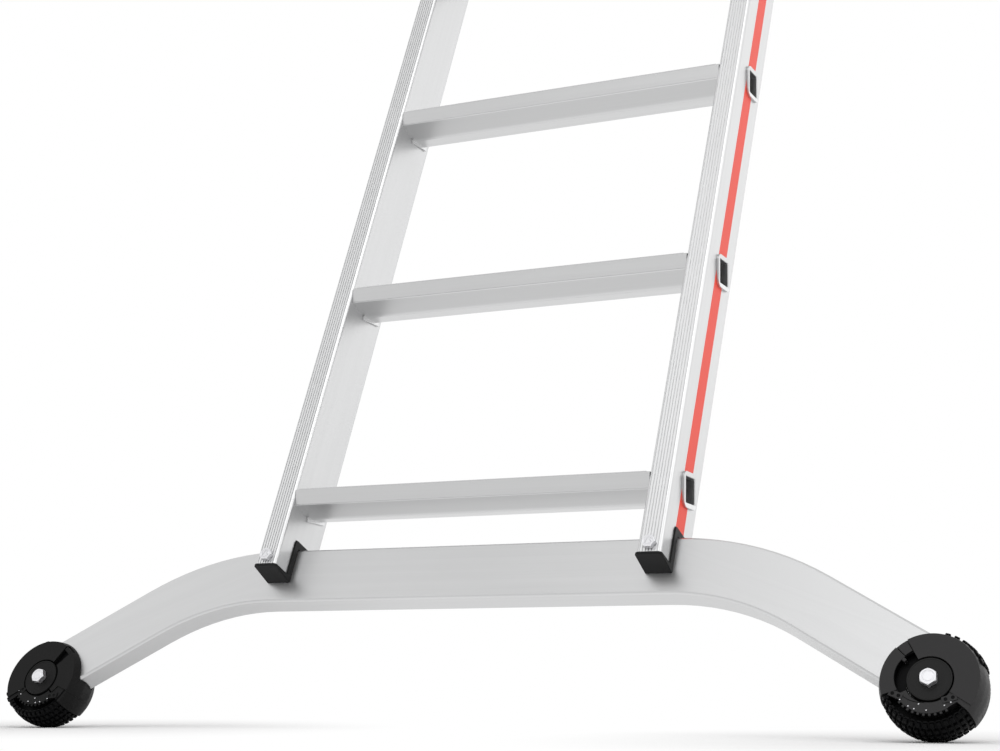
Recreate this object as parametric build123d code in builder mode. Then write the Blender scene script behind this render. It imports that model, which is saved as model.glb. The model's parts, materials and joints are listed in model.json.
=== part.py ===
"""Leaning ladder: two box stiles, flanged step rungs and a bent stabiliser bar on ball feet."""
import os
from math import cos, radians, sin, sqrt

from build123d import *

os.makedirs("parts", exist_ok=True)

# All sizes are millimetres and degrees.
# Working frame: X across the ladder, Y from its front face to its back, Z up the stiles from the foot axis.
# The finished pieces are leaned over together at the end.

# Ladder
lean = 25
outer_width = 480
rung_count = 11
rung_pitch = 280

# Stiles: hollow boxes with a grooved front face and a coloured stripe in a recess of the outer side
stile_width = 26
stile_depth = 77
stile_wall = 1.8
stile_face_wall = 2.8
stile_edge_radius = 4
stile_over_last_rung = 170
groove_count = 5
groove_pitch = 4.2
groove_width = 1.5
groove_depth = 0.8
stripe_front = 28
stripe_width = 23
stripe_thickness = 0.4

# Rungs: a tube through both stiles with a hollow nose in front, turned so that the tread is nearly level
rung_tilt = 21.5
rung_depth = 45
tube_depth = 29
tube_height = 30.5
tube_wall = 1.6
nose_reach = 28
nose_height = 18.3
nose_wall = 1.8
nose_corner = 1.2
flange_lip = 3.9
flange_corner = 5
flange_thickness = 2.8
bead_lip = 3.2
bead_thickness = 2.4
rung_clearance = 0.1

# Stabiliser bar: rectangular tube, bent down at both sides
bar_height = 64
bar_depth = 28
bar_wall = 2.5
bar_corner = 2.6
bend_start = 236
bend_radius = 288
bend_angle = 31.5
arm_length = 150
bar_over_bolt = 9
arm_tail = 12
arm_tail_tip = 12
arm_tail_run = 38

# End shoe of each stile: it caps the front leg and lines the notch that holds the bar
leg_depth = 25.3
leg_below_bar_top = 34.5
shoe_plate = 3
shoe_liner = 8.2
shoe_top = 8.5
shoe_clearance = 0.15
first_rung_over_bar = 60.4

# Top caps of the stiles
cap_plate = 4
cap_plug = 28
cap_corner = 2.4

# Bolts through stile and bar
bar_bolt_radius = 4
bar_bolt_flats = 13
bar_bolt_head = 5.3
bar_bolt_over_axis = 7.3
bar_nut_height = 8
bolt_tip = 2
hole_clearance = 0.25

# Ball feet
ball_radius = 49.5
foot_depth = 44
face_offset = 20
back_offset = 30
slot_clearance = 0.3
slot_radius = 29
hub_radius = 21.7
hub_gap = 0.7
run_clearance = 0.06
foot_bolt_radius = 5
foot_bolt_flats = 17
foot_bolt_head = 6.4
foot_nut_height = 8
foot_nut_gap = 0.3
pocket_radius = 25.6
pocket_x = -7
pocket_y = 3
pocket_floor = 1.6
slit_start = 120
slit_end = 136.5
slit_floor = 5
strip_drop = 1.2
strip_end = -33
pad_seat = 32.5
seat_flat_count = 4
pad_channel = 39.4
pad_channel_depth = 8
pad_clearance = 0.2
lower_tread_radius = 48.5
lower_floor_radius = 45.6
lower_pad_start = -160
lower_pad_end = -40
outer_tread_radius = 51.5
outer_floor_radius = 48.5
outer_pad_start = 20
outer_lip_end = 80
outer_lip_front = 16
knob_turn = 20
knob_width = 10
knob_root = 4
knob_row_pitch = 16
knob_row_gap = 4

# Places that follow from the sizes above
inner_half = outer_width / 2 - stile_width
outer_half = outer_width / 2
stile_x = outer_half - stile_width / 2
bend = radians(bend_angle)
bar_front = leg_depth + shoe_liner
bar_middle = bar_front + bar_depth / 2
bar_drop = bend_radius * (1 - cos(bend)) + arm_length * sin(bend)
bar_level = bar_drop + bar_over_bolt * cos(bend)
bar_top = bar_level + bar_height / 2
foot_x = bend_start + bend_radius * sin(bend) + arm_length * cos(bend) - bar_over_bolt * sin(bend)
stile_foot = bar_top - leg_below_bar_top
notch_top = bar_top + shoe_top
first_rung = bar_top + first_rung_over_bar
stile_top = first_rung + (rung_count - 1) * rung_pitch + stile_over_last_rung
arm_low = bar_height / 2 - bar_over_bolt
arm_high = bar_height / 2 + bar_over_bolt
outer_pad_end = 90 - bend_angle
slot_front = foot_depth - bar_front + slot_clearance
slot_back = foot_depth - bar_front - bar_depth - slot_clearance
bolt_level = bar_level + bar_bolt_over_axis

# Blocks of the tread pads: start and end of their sector, back and front level
lower_block = (lower_pad_start, lower_pad_end, -back_offset, face_offset)
outer_block = (outer_pad_start, outer_pad_end, -back_offset, outer_lip_front)
outer_lip = (outer_pad_end, outer_lip_end, slot_front, outer_lip_front)

# Planes
across = Plane.YZ
bar_plane = Plane(origin=(0, bar_middle, bar_level), x_dir=(1, 0, 0), z_dir=(0, -1, 0))
foot_plane = Plane(origin=(foot_x, foot_depth, 0), x_dir=(1, 0, 0), z_dir=(0, -1, 0))
arm_plane = Plane(origin=(foot_x, foot_depth, 0), x_dir=(cos(bend), 0, -sin(bend)), z_dir=(0, -1, 0))
front_plane = Plane(origin=(0, 0, 0), x_dir=(1, 0, 0), z_dir=(0, -1, 0))
bar_back_plane = front_plane.offset(-(bar_front + bar_depth))
turning_plane = Plane(origin=(foot_x, foot_depth, 0), x_dir=(1, 0, 0), z_dir=(0, 0, -1))
foot_axis = Axis((foot_x, foot_depth, 0), (0, -1, 0))

pieces = {}


def keep(name, piece):
    """Give a finished piece its name and put it with the others."""
    piece.label = name
    pieces[name] = piece


def mirrored(piece):
    """The same piece for the other side of the ladder."""
    with BuildPart() as twin:
        mirror(piece, about=Plane.YZ)
    return twin.part


def keep_pair(name, piece):
    """Keep a piece of the right side and its mirror image on the left."""
    keep(f"{name}_right", piece)
    keep(f"{name}_left", mirrored(piece))


def rung_plane(number):
    """Section plane of a rung: x along the tread to the back, y up, centred in the rung's tube."""
    tilt = radians(rung_tilt)
    level = first_rung + number * rung_pitch
    return Plane(origin=(0, rung_depth, level), x_dir=(0, cos(tilt), sin(tilt)), z_dir=(1, 0, 0))


def tube_outline(grow):
    """Outline of a rung's tube, grown on all sides."""
    Rectangle(tube_depth + 2 * grow, tube_height + 2 * grow)


def rim(radius, level):
    """Radius of a ball at a level along its bolt."""
    return sqrt(radius**2 - level**2)


def sector(start, end, radius, flats=2, mode=Mode.ADD):
    """A slice of a sketch about the origin, closed by a row of flats that touch the radius."""
    turn = (end - start) / flats
    reach = radius / cos(radians(turn / 2))
    turns = [radians(start + number * turn) for number in range(flats + 1)]
    Polygon((0, 0), *[(reach * cos(angle), reach * sin(angle)) for angle in turns], align=None, mode=mode)


# Stile with its notch, rung holes and bolt hole
with BuildPart() as stile:
    with BuildSketch(Plane.XY.offset(stile_foot)):
        with Locations((stile_x, stile_depth / 2)):
            RectangleRounded(stile_width, stile_depth, stile_edge_radius)
            Rectangle(stile_width - 2 * stile_wall, stile_depth - 2 * stile_face_wall, mode=Mode.SUBTRACT)
        with Locations((stile_x, 0)):
            with GridLocations(groove_pitch, groove_pitch, groove_count, 1):
                Rectangle(groove_width, 2 * groove_depth, mode=Mode.SUBTRACT)
        with Locations((outer_half, stripe_front + stripe_width / 2)):
            Rectangle(2 * stripe_thickness, stripe_width, mode=Mode.SUBTRACT)
    extrude(amount=stile_top - stile_foot)
    with BuildSketch(across):
        with Locations((leg_depth, notch_top)):
            Rectangle(stile_depth, notch_top, align=(Align.MIN, Align.MAX))
    extrude(amount=outer_width, mode=Mode.SUBTRACT)
    for number in range(rung_count):
        with BuildSketch(rung_plane(number)):
            tube_outline(rung_clearance)
        extrude(amount=outer_width, mode=Mode.SUBTRACT)
    with BuildSketch(front_plane):
        with Locations((stile_x, bolt_level)):
            Circle(bar_bolt_radius + hole_clearance)
    extrude(amount=-leg_depth, mode=Mode.SUBTRACT)
keep_pair("stile", stile.part)

# Coloured stripe in the recess of the stile's outer side
with BuildPart() as stripe:
    with BuildSketch(across.offset(outer_half - stripe_thickness)):
        with Locations((stripe_front, notch_top)):
            Rectangle(stripe_width, stile_top - notch_top, align=Align.MIN)
    extrude(amount=stripe_thickness)
    for number in range(rung_count):
        with BuildSketch(rung_plane(number)):
            tube_outline(rung_clearance)
        extrude(amount=outer_width, mode=Mode.SUBTRACT)
keep_pair("stripe", stripe.part)

# Rungs
nose_drop = tube_height / 2 - nose_height
for number in range(rung_count):
    section = rung_plane(number)
    with BuildPart() as rung:
        with BuildSketch(section):
            tube_outline(0)
        extrude(amount=outer_half + flange_thickness, both=True)
        with BuildSketch(section):
            with Locations((0, nose_drop)):
                Rectangle(nose_reach + tube_depth / 2, nose_height, align=(Align.MAX, Align.MIN))
            chamfer(vertices().group_by(Axis.X)[0], nose_corner)
        extrude(amount=inner_half, both=True)
        for side in (-1, 1):
            with BuildSketch(section.offset(side * outer_half)):
                tube_outline(flange_lip)
                chamfer(vertices(), flange_corner)
            extrude(amount=side * flange_thickness)
            with BuildSketch(section.offset(side * inner_half)):
                with Locations((0, nose_drop)):
                    Rectangle(
                        tube_depth + 2 * bead_lip,
                        nose_drop + tube_height / 2 + bead_lip,
                        align=(Align.CENTER, Align.MAX),
                    )
            extrude(amount=-side * bead_thickness)
        with BuildSketch(section):
            Rectangle(tube_depth - 2 * tube_wall, tube_height - 2 * tube_wall)
        extrude(amount=outer_half + flange_thickness, both=True, mode=Mode.SUBTRACT)
        with BuildSketch(section):
            with Locations((-tube_depth / 2, nose_drop + nose_wall)):
                Rectangle(
                    nose_reach - nose_wall, nose_height - 2 * nose_wall, align=(Align.MAX, Align.MIN)
                )
        extrude(amount=inner_half, both=True, mode=Mode.SUBTRACT)
    keep(f"rung_{number + 1:02d}", rung.part)

# Stabiliser bar: one side is swept, then mirrored
with BuildPart() as bar:
    with BuildLine(bar_plane):
        middle = Line((0, 0), (bend_start, 0))
        curve = JernArc(middle @ 1, middle % 1, bend_radius, -bend_angle)
        arm_end = Line(curve @ 1, curve @ 1 + (curve % 1) * (arm_length + arm_tail))
    with BuildSketch(Plane(origin=(0, bar_middle, bar_level), x_dir=(0, 1, 0), z_dir=(1, 0, 0))):
        Rectangle(bar_depth, bar_height)
        chamfer(vertices(), bar_corner)
        Rectangle(bar_depth - 2 * bar_wall, bar_height - 2 * bar_wall, mode=Mode.SUBTRACT)
    sweep()
    with BuildSketch(arm_plane):
        Polygon(
            (arm_tail, arm_tail_tip),
            (arm_tail, arm_high),
            (arm_tail - arm_tail_run, arm_high),
            align=None,
        )
    extrude(amount=bar_depth, both=True, mode=Mode.SUBTRACT)
    with BuildSketch(front_plane):
        with Locations((foot_x, 0)):
            Circle(foot_bolt_radius + hole_clearance)
        with Locations((stile_x, bolt_level)):
            Circle(bar_bolt_radius + hole_clearance)
    extrude(amount=-stile_depth, mode=Mode.SUBTRACT)
    mirror(about=Plane.YZ)
keep("stabiliser_bar", bar.part)

# End shoe: cap plate, plug in the front leg, liner in front of the bar and block on top of it
with BuildPart() as shoe:
    with BuildSketch(Plane.XY.offset(stile_foot)):
        with Locations((stile_x, 0)):
            Rectangle(stile_width, bar_front, align=(Align.CENTER, Align.MIN))
        fillet(vertices().group_by(Axis.Y)[0], stile_edge_radius)
    extrude(amount=-shoe_plate)
    with BuildSketch(across.offset(stile_x)):
        with Locations((leg_depth, stile_foot)):
            Rectangle(shoe_liner, notch_top - stile_foot, align=Align.MIN)
        with Locations((leg_depth, notch_top)):
            Rectangle(stile_depth - leg_depth, shoe_top, align=(Align.MIN, Align.MAX))
    extrude(amount=stile_width / 2, both=True)
    with BuildSketch(Plane.XY.offset(stile_foot)):
        with Locations((stile_x, leg_depth)):
            Rectangle(
                stile_width - 2 * (stile_wall + shoe_clearance),
                leg_depth - stile_face_wall - shoe_clearance,
                align=(Align.CENTER, Align.MAX),
            )
    extrude(amount=notch_top - stile_foot)
    with BuildSketch(front_plane):
        with Locations((stile_x, bolt_level)):
            Circle(bar_bolt_radius + hole_clearance)
    extrude(amount=-bar_front, mode=Mode.SUBTRACT)
keep_pair("stile_end_shoe", shoe.part)

# Top cap of a stile
with BuildPart() as cap:
    with BuildSketch(Plane.XY.offset(stile_top)):
        with Locations((stile_x, stile_depth / 2)):
            Rectangle(stile_width, stile_depth)
        chamfer(vertices(), cap_corner)
    extrude(amount=cap_plate)
    with BuildSketch(Plane.XY.offset(stile_top)):
        with Locations((stile_x, stile_depth / 2)):
            Rectangle(
                stile_width - 2 * (stile_wall + shoe_clearance),
                stile_depth - 2 * (stile_face_wall + shoe_clearance),
            )
    extrude(amount=-cap_plug)
keep_pair("stile_top_cap", cap.part)

# Bolts and nuts that hold the bar in the stiles
with BuildPart() as bar_bolts:
    with BuildSketch(front_plane):
        with Locations((stile_x, bolt_level)):
            RegularPolygon(bar_bolt_flats / 2, 6, major_radius=False)
    extrude(amount=bar_bolt_head)
    with BuildSketch(front_plane):
        with Locations((stile_x, bolt_level)):
            Circle(bar_bolt_radius)
    extrude(amount=-(bar_front + bar_depth + bar_nut_height + bolt_tip))
    mirror(about=Plane.YZ)
keep("bar_bolts", bar_bolts.part)

with BuildPart() as bar_nuts:
    with BuildSketch(bar_back_plane):
        with Locations((stile_x, bolt_level)):
            RegularPolygon(bar_bolt_flats / 2, 6, major_radius=False)
            Circle(bar_bolt_radius, mode=Mode.SUBTRACT)
    extrude(amount=-bar_nut_height)
    mirror(about=Plane.YZ)
keep("bar_nuts", bar_nuts.part)

# Foot shell: a ball with a flat face in front, a slot for the arm and seats for the tread pads
with BuildPart() as foot_shell:
    with BuildSketch(turning_plane):
        levels = (-back_offset, slot_back, 0, slot_front, face_offset)
        bands = [(rim(ball_radius, level), level) for level in levels]
        Polygon((0, -back_offset), *bands, (0, face_offset), align=None)
    revolve(axis=foot_axis)
    with BuildSketch(arm_plane.offset(slot_back)):
        Circle(slot_radius)
        with Locations((0, -arm_low - slot_clearance)):
            Rectangle(2 * ball_radius, 3 * ball_radius, align=(Align.MAX, Align.MIN))
    extrude(amount=slot_front - slot_back, mode=Mode.SUBTRACT)
    for start, end, low, high in (lower_block, outer_block, outer_lip):
        with BuildSketch(foot_plane.offset(low)):
            sector(start, end, ball_radius)
            sector(start, end, pad_seat - pad_clearance, seat_flat_count, Mode.SUBTRACT)
        extrude(amount=high - low, mode=Mode.SUBTRACT)
    with BuildSketch(foot_plane.offset(face_offset)):
        sector(lower_pad_start, strip_end, ball_radius)
    extrude(amount=-strip_drop, mode=Mode.SUBTRACT)
    with BuildSketch(foot_plane.offset(face_offset)):
        sector(slit_start, slit_end, ball_radius)
    extrude(amount=-slit_floor, mode=Mode.SUBTRACT)
    with BuildSketch(foot_plane.offset(slot_front + pocket_floor)):
        with Locations((pocket_x, pocket_y)):
            Circle(pocket_radius)
        sector(strip_end, slit_start, ball_radius, mode=Mode.SUBTRACT)
    extrude(amount=face_offset, mode=Mode.SUBTRACT)
    with BuildSketch(foot_plane.offset(slot_front)):
        Circle(hub_radius + hub_gap)
    extrude(amount=face_offset, mode=Mode.SUBTRACT)
    with BuildSketch(foot_plane):
        Circle(foot_bolt_radius + run_clearance)
    extrude(amount=-back_offset, mode=Mode.SUBTRACT)
keep_pair("foot_shell", foot_shell.part)


def tread_pad(blocks, floor_radius, tread_radius):
    """Rubber pad made of blocks of the ball, with rows of knobs from the front of a block to its back."""
    knob_height = tread_radius - floor_radius
    with BuildPart() as pad:
        for start, end, low, high in blocks:
            columns = round((end - start) / knob_turn)
            rows = max(1, round((high - low) / knob_row_pitch))
            pitch = (high - low) / rows
            first_knob = start + (end - start) / columns / 2
            for row in range(rows):
                top = high - row * pitch
                knob_end = max(abs(top), abs(top - pitch + knob_row_gap))
                floor_end = max(abs(top), abs(top - pitch))
                with BuildSketch(foot_plane.offset(top)):
                    with PolarLocations(rim(tread_radius, knob_end), columns, first_knob, end - start):
                        Rectangle(knob_height + knob_root, knob_width, align=(Align.MAX, Align.CENTER))
                extrude(amount=knob_row_gap - pitch)
                with BuildSketch(foot_plane.offset(top)):
                    sector(start, end, rim(floor_radius, floor_end), columns)
                    sector(start, end, pad_seat, seat_flat_count, Mode.SUBTRACT)
                extrude(amount=-pitch)
    return pad.part


with BuildPart() as lower_tread:
    add(tread_pad([lower_block], lower_floor_radius, lower_tread_radius))
    with BuildSketch(foot_plane.offset(face_offset)):
        sector(lower_pad_start, lower_pad_end, pad_channel, seat_flat_count)
    extrude(amount=-pad_channel_depth, mode=Mode.SUBTRACT)
keep_pair("foot_lower_tread", lower_tread.part)
keep_pair("foot_outer_tread", tread_pad([outer_block, outer_lip], outer_floor_radius, outer_tread_radius))

# Feet: hub discs in front of the arms, bolts and nuts
with BuildPart() as foot_hubs:
    with BuildSketch(foot_plane.offset(foot_depth - bar_front)):
        Circle(hub_radius)
        Circle(foot_bolt_radius + hole_clearance, mode=Mode.SUBTRACT)
    extrude(amount=face_offset - foot_depth + bar_front)
    mirror(about=Plane.YZ)
keep("foot_hubs", foot_hubs.part)

nut_face = -back_offset - foot_nut_gap
with BuildPart() as foot_bolts:
    with BuildSketch(foot_plane.offset(face_offset)):
        RegularPolygon(foot_bolt_flats / 2, 6, major_radius=False, rotation=30)
    extrude(amount=foot_bolt_head)
    with BuildSketch(foot_plane.offset(face_offset)):
        Circle(foot_bolt_radius)
    extrude(amount=nut_face - foot_nut_height - bolt_tip - face_offset)
    mirror(about=Plane.YZ)
keep("foot_bolts", foot_bolts.part)

with BuildPart() as foot_nuts:
    with BuildSketch(foot_plane.offset(nut_face)):
        RegularPolygon(foot_bolt_flats / 2, 6, major_radius=False)
        Circle(foot_bolt_radius, mode=Mode.SUBTRACT)
    extrude(amount=-foot_nut_height)
    mirror(about=Plane.YZ)
keep("foot_nuts", foot_nuts.part)

# Lean the ladder back, then put the middle of its footprint on the origin
leaned = {name: piece.rotate(Axis.X, -lean) for name, piece in pieces.items()}
boxes = [piece.bounding_box() for piece in leaned.values()]
front = min(box.min.Y for box in boxes)
back = max(box.max.Y for box in boxes)
floor = min(box.min.Z for box in boxes)
for name, piece in leaned.items():
    placed = piece.moved(Location((0, -(front + back) / 2, -floor)))
    placed.label = name
    export_step(placed, f"parts/{name}.step")
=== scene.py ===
import json
from math import atan2, cos, radians, sin, sqrt

import bpy
from mathutils import Matrix, Vector

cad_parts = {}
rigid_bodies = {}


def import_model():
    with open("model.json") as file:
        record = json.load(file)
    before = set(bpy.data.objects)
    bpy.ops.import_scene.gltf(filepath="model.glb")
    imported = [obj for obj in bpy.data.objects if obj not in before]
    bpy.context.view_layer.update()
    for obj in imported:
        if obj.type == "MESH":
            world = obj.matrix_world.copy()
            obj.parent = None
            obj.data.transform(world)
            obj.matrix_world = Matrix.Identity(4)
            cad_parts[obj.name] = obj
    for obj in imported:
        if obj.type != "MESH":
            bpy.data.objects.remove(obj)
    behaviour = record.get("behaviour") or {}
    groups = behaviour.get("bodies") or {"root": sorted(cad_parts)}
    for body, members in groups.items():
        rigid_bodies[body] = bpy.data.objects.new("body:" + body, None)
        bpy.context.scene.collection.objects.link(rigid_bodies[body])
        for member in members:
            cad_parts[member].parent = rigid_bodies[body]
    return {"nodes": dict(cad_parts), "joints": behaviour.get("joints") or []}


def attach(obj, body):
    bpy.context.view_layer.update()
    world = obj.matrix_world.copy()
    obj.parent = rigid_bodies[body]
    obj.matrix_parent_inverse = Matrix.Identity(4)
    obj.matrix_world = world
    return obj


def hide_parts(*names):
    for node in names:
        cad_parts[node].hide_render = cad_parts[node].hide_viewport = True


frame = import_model()

bl_info = {
    "name": "Leaning Ladder",
    "version": (1, 0, 0),
    "blender": (4, 5, 0),
    "location": "View3D > Sidebar > Ladder",
    "description": "Dresses a leaning ladder with a stabiliser bar and ball feet",
    "category": "Object",
}

# The ladder's own frame: x across through the feet's bolts, y up the stiles, z out of the front.
hinges = {joint["child"]: joint for joint in frame["joints"]}
ACROSS = Vector((1, 0, 0))
OUT = Vector(hinges["foot_right"]["axis"]).normalized()
UP = OUT.cross(ACROSS)
FOOT = {side: Vector(hinges[f"foot_{side}"]["pos_m"]) for side in ("left", "right")}
FEET_MIDDLE = (FOOT["left"] + FOOT["right"]) / 2
SIDES = {"left": -1, "right": 1}
RUNGS = sorted(name for name in frame["nodes"] if name.startswith("rung_"))


def own_frame(origin):
    """The ladder's own directions, placed at a point."""
    turn = Matrix((ACROSS, UP, OUT)).transposed().to_4x4()
    return Matrix.Translation(origin) @ turn


LADDER = own_frame(FEET_MIDDLE)


def own_point(point):
    """A point of the room in the ladder's own frame."""
    return LADDER.inverted() @ point


def node_points(node, side):
    """Points of one half of a node in the ladder's own frame."""
    vertices = frame["nodes"][node].data.vertices
    return [own_point(vertex.co) for vertex in vertices if vertex.co.x * SIDES[side] > 0]


def box_of(points):
    """Lowest and highest corner of a set of points."""
    columns = list(zip(*points))
    return Vector(map(min, columns)), Vector(map(max, columns))


def node_box(node, side):
    return box_of(node_points(node, side))


STILE_LOW, STILE_HIGH = node_box("stile_right", "right")
STILE_MIDDLE = (STILE_LOW.x + STILE_HIGH.x) / 2
BAR_HIGH = node_box("stabiliser_bar", "right")[1]
BAR_HALF = 0.032

# What counts as on a level, as one point, as one plane and as facing a direction.
NEAR = 0.0003
WELD = 0.000005
FLAT = radians(0.5)
FACING = 0.9


def length(name, description, metres):
    return bpy.props.FloatProperty(
        name=name, description=description, default=metres, precision=5, subtype="DISTANCE", unit="LENGTH")


def angle(name, description, degrees):
    return bpy.props.FloatProperty(
        name=name, description=description, default=radians(degrees), subtype="ANGLE", unit="ROTATION")


def colour(name, description, shade):
    return bpy.props.FloatVectorProperty(
        name=name, description=description, default=shade, subtype="COLOR", size=3, min=0, max=1)


class LadderSizes(bpy.types.PropertyGroup):
    """Sizes of the details that are modelled on the ladder."""

    stile_edge: length("Stile Edge", "Rounding of the grooves and cut edges of the stiles", 0.0003)
    groove_pitch: length("Groove Pitch", "Distance of the grooves on the front of the stiles", 0.0032)
    groove_width: length("Groove Width", "Width of a groove on the front of the stiles", 0.0010)
    groove_depth: length("Groove Depth", "Depth of a groove on the front of the stiles", 0.0013)
    flange_round: length("Flange Rounding", "Rounding of the corners of the rung flanges", 0.0031)
    tube_round: length("Tube Rounding", "Rounding of the lower edges of the rung tubes", 0.0034)
    rung_tilt: angle("Rung Tilt", "Turn of the treads against the stiles", 21.5)
    tread_top: length("Tread Top", "Height of a tread over the middle of its tube", 0.01525)
    tread_front: length("Tread Front", "Reach of a tread in front of the middle of its tube", 0.0425)
    tread_back: length("Tread Back", "Reach of a tread behind the middle of its tube", 0.0145)
    nose_low: length("Nose Low", "Level of the nose's lower edge under the middle of its tube", 0.00305)
    rib_pitch: length("Rib Pitch", "Distance of the ribs on the treads", 0.0036)
    rib_width: length("Rib Width", "Width of a rib on the treads", 0.0016)
    rib_height: length("Rib Height", "Height of a rib on the treads", 0.0007)
    flare: length("Flange Flare", "Chamfer round the openings of the rung flanges", 0.0011)
    bar_edge: length("Bar Edge", "Rounding of the long edges of the stabiliser bar", 0.0012)
    shoe_edge: length("Shoe Edge", "Rounding of the end shoes and top caps", 0.0007)
    shoe_lip: length("Shoe Lip", "How far the end shoes stand proud of the stiles", 0.0017)
    shoe_hang: length("Shoe Hang", "How far the back of an end shoe hangs below its front", 0.0040)
    shoe_corner: length("Shoe Corner", "Rounding of the upper corner of the end shoes", 0.0042)
    foot_edge: length("Foot Edge", "Rounding of the edges of the ball feet", 0.0005)
    bar_bolt_flats: length("Bar Bolt Flats", "Width over the flats of the bar's bolts", 0.013)
    bar_bolt_head: length("Bar Bolt Head", "Height of the heads of the bar's bolts", 0.0053)
    bar_bolt_shank: length("Bar Bolt Shank", "Radius of the bar's bolts", 0.004)
    foot_bolt_flats: length("Foot Bolt Flats", "Width over the flats of the feet's bolts", 0.0148)
    foot_bolt_head: length("Foot Bolt Head", "Height of the heads of the feet's bolts", 0.0064)
    foot_bolt_shank: length("Foot Bolt Shank", "Radius of the feet's bolts", 0.005)
    ball_radius: length("Ball Radius", "Radius of the ball feet", 0.0495)
    face_level: length("Foot Face", "Distance of the feet's flat faces from the middle of the ball", 0.020)
    back_level: length("Foot Back", "Distance of the feet's backs from the middle of the ball", 0.030)
    slit_floor: length("Slit Floor", "Level of the floor of the slit in the feet's faces", 0.015)
    pocket_floor: length("Pocket Floor", "Level of the floor of the pocket in the feet's faces", 0.0124)
    hub_radius: length("Hub Radius", "Radius of the hub discs", 0.0208)
    bore_radius: length("Hub Bore", "Radius of the bore round the hubs", 0.0224)
    pocket_radius: length("Pocket Radius", "Radius of the pocket beside the hub", 0.0256)
    lower_tread: length("Lower Tread", "Radius of the ball over the knobs of the lower treads", 0.0487)
    lower_floor: length("Lower Floor", "Radius of the ball between the knobs of the lower treads", 0.0466)
    outer_tread: length("Outer Tread", "Radius of the ball over the knobs of the outer treads", 0.0514)
    outer_floor: length("Outer Floor", "Radius of the ball between the knobs of the outer treads", 0.0484)
    tread_seat: length("Tread Seat", "Radius on which the treads sit", 0.0325)
    channel: length("Tread Channel", "Outer radius of the channel in the front of the lower treads", 0.0420)
    channel_depth: length("Channel Depth", "Depth of the channel in the front of the lower treads", 0.012)
    lower_knobs: length("Lower Knob Pitch", "Distance of the knobs in a row of the lower treads", 0.0062)
    outer_knobs: length("Outer Knob Pitch", "Distance of the knobs in a row of the outer treads", 0.0080)
    row_pitch: length("Row Pitch", "Distance of the rows of knobs", 0.0083)
    lens: bpy.props.FloatProperty(
        name="Lens", description="Focal length of the camera in millimetres", default=65.69)


class LadderColours(bpy.types.PropertyGroup):
    """Colours of the ladder's finishes."""

    aluminium: colour("Aluminium", "Extruded aluminium of stiles, rungs and bar", (0.57, 0.572, 0.575))
    film: colour("Film", "Coloured stripes on the stiles", (0.86, 0.062, 0.034))
    plastic: colour("Plastic", "Moulded plastic of shoes and caps", (0.005, 0.005, 0.0053))
    foot: colour("Foot", "Moulded plastic of the ball feet", (0.013, 0.0125, 0.013))
    # Painted shade: the left foot's plastic is a darker copy of the foot's, for the shade that falls on it.
    dull_foot: colour("Dull Foot", "Duller plastic of the left ball foot", (0.006, 0.006, 0.006))
    hub: colour("Hub", "Turned plastic of the hubs", (0.006, 0.006, 0.006))
    rubber: colour("Rubber", "Rubber of the treads", (0.0015, 0.0015, 0.0018))
    zinc: colour("Zinc", "Zinc plated bolts and nuts", (0.55, 0.55, 0.555))
    floor: colour("Floor", "Studio floor", (0.96, 0.96, 0.96))


class Value:
    """A shader socket that can stand in sums."""

    def __init__(self, finish, socket):
        self.finish = finish
        self.socket = socket

    def of(self, name):
        """Another output of the same node."""
        return Value(self.finish, self.socket.node.outputs[name])

    def reckon(self, operation, first, second):
        return self.finish.make("ShaderNodeMath", {"operation": operation}, {0: first, 1: second})

    def __add__(self, other):
        return self.reckon("ADD", self, other)

    def __radd__(self, other):
        return self.reckon("ADD", other, self)

    def __sub__(self, other):
        return self.reckon("SUBTRACT", self, other)

    def __rsub__(self, other):
        return self.reckon("SUBTRACT", other, self)

    def __mul__(self, other):
        return self.reckon("MULTIPLY", self, other)

    def __rmul__(self, other):
        return self.reckon("MULTIPLY", other, self)

    def __pow__(self, other):
        return self.reckon("POWER", self, other)

    def __abs__(self):
        return self.reckon("ABSOLUTE", self, 0.0)

    def highest(self, other):
        return self.reckon("MAXIMUM", self, other)


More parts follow.
